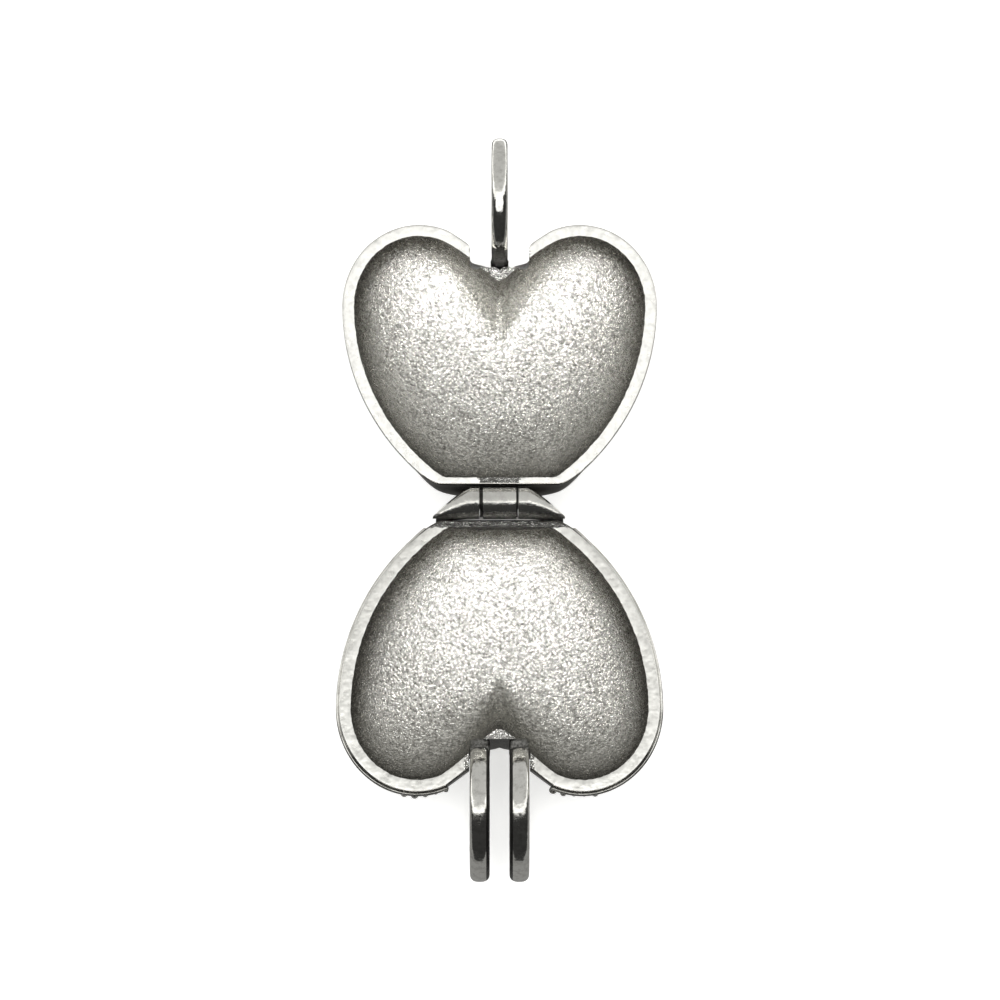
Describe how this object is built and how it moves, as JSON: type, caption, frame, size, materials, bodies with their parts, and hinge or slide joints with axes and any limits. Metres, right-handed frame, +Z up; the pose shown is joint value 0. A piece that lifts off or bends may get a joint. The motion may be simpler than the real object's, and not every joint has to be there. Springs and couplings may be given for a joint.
{
  "type": "heart locket pendant",
  "caption": "Puffed heart locket pendant that opens flat on a hinge at the tip, with hollow halves and bail rings for a chain.",
  "frame": {"origin": "on the surface the open locket lies on, straight below the middle of the hinge", "axes": "+Z up out of the open halves, +Y from the hinge towards the back half's bail ring, +X to the right along the hinge"},
  "size_m": [0.0226, 0.0526, 0.0102],
  "materials": {
    "cast_metal": "bead-blasted inside, satin outside, bright flat rim",
    "hinge_metal": "satin with polished crowns",
    "polished_metal": "polished",
    "pin_metal": "drawn wire",
    "relief_metal": "oxidised with rubbed high spots"
  },
  "bodies": {
    "back": {"back_shell": "cast_metal", "centre_knuckle": "hinge_metal", "back_ring": "polished_metal"},
    "front": {"front_shell": "cast_metal", "hinge_pin": "pin_metal", "left_knuckle": "hinge_metal", "right_knuckle": "hinge_metal", "left_front_ring": "polished_metal", "right_front_ring": "polished_metal", "left_border_wire": "relief_metal", "right_border_wire": "relief_metal", "left_lobe_scroll": "relief_metal", "right_lobe_scroll": "relief_metal", "left_tip_scroll": "relief_metal", "right_tip_scroll": "relief_metal", "left_bead_1": "relief_metal", "left_bead_2": "relief_metal", "left_bead_3": "relief_metal", "left_bead_4": "relief_metal", "left_bead_5": "relief_metal", "right_bead_1": "relief_metal", "right_bead_2": "relief_metal", "right_bead_3": "relief_metal", "right_bead_4": "relief_metal", "right_bead_5": "relief_metal"}
  },
  "joints": [
    {"name": "shell_hinge", "type": "hinge", "parent": "back", "child": "front", "pos_m": [0, 0, 0.00559], "axis": [-1, 0, 0], "range_deg": [0, 180]}
  ]
}
